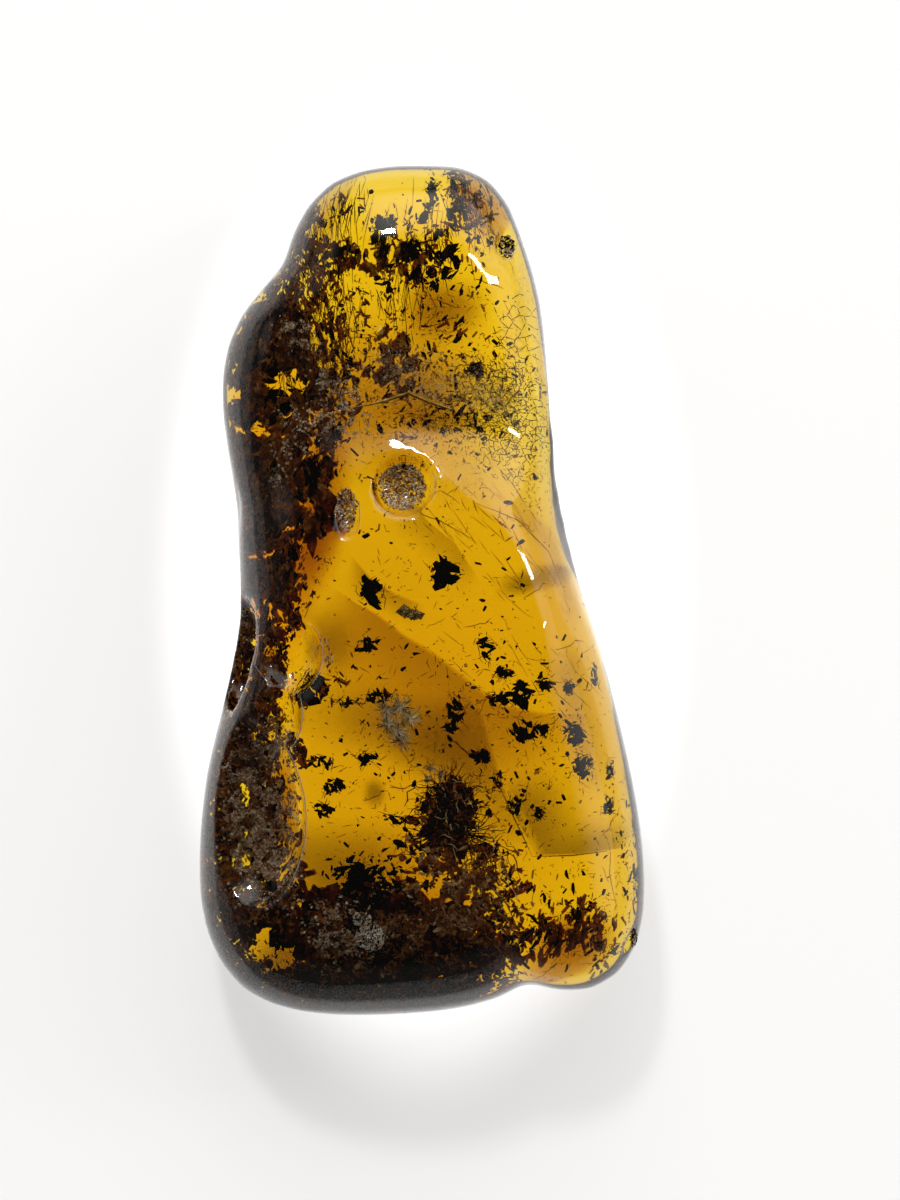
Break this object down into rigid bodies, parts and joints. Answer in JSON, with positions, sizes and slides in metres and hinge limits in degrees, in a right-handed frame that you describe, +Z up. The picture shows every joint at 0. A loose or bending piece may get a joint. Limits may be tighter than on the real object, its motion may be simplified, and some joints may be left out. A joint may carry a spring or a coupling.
{
  "type": "raw amber",
  "caption": "Tumbled pear-shaped nugget of clear yellow raw amber, lying on its back, with bark scraps, wood dust and moss sealed inside.",
  "frame": {"origin": "on the plane of the flat spot it lies on, under the middle of the nugget", "axes": "+Y along the length towards the narrow end, +X to the right seen from the face, +Z up out of the face"},
  "size_m": [0.0342, 0.065, 0.0169],
  "materials": {
    "amber": "polished",
    "wood_debris": "matte",
    "debris_crust": "matte",
    "peat_bed": "matte",
    "bark": "matte",
    "grey_moss": "matte"
  },
  "bodies": {
    "root": {"amber_front": "amber", "amber_back": "amber", "debris_mass_left": "wood_debris", "debris_crust_left": "debris_crust", "debris_bed_base": "peat_bed", "debris_band_top": "wood_debris", "debris_band_neck": "wood_debris", "dark_mound": "peat_bed", "brown_block": "wood_debris", "bark_scrap_01": "bark", "bark_scrap_02": "bark", "bark_scrap_03": "bark", "bark_scrap_04": "bark", "bark_scrap_05": "bark", "bark_scrap_06": "bark", "bark_scrap_07": "bark", "bark_scrap_08": "bark", "bark_scrap_09": "bark", "bark_scrap_10": "bark", "bark_scrap_11": "bark", "bark_scrap_12": "bark", "bark_scrap_13": "bark", "bark_scrap_14": "bark", "bark_scrap_15": "bark", "bark_scrap_16": "bark", "bark_scrap_17": "bark", "bark_scrap_18": "bark", "bark_scrap_19": "bark", "bark_scrap_20": "bark", "bark_scrap_21": "bark", "bark_scrap_22": "bark", "bark_scrap_23": "bark", "bark_scrap_24": "bark", "bark_scrap_25": "bark", "bark_scrap_26": "bark", "bark_scrap_27": "bark", "bark_scrap_28": "bark", "bark_scrap_29": "bark", "bark_scrap_30": "bark", "bark_scrap_31": "bark", "bark_scrap_32": "bark", "bark_scrap_33": "bark", "bark_scrap_34": "bark", "bark_scrap_35": "bark", "leaf_crumb": "grey_moss", "moss_tuft": "grey_moss", "grey_crumb": "grey_moss"}
  },
  "joints": []
}
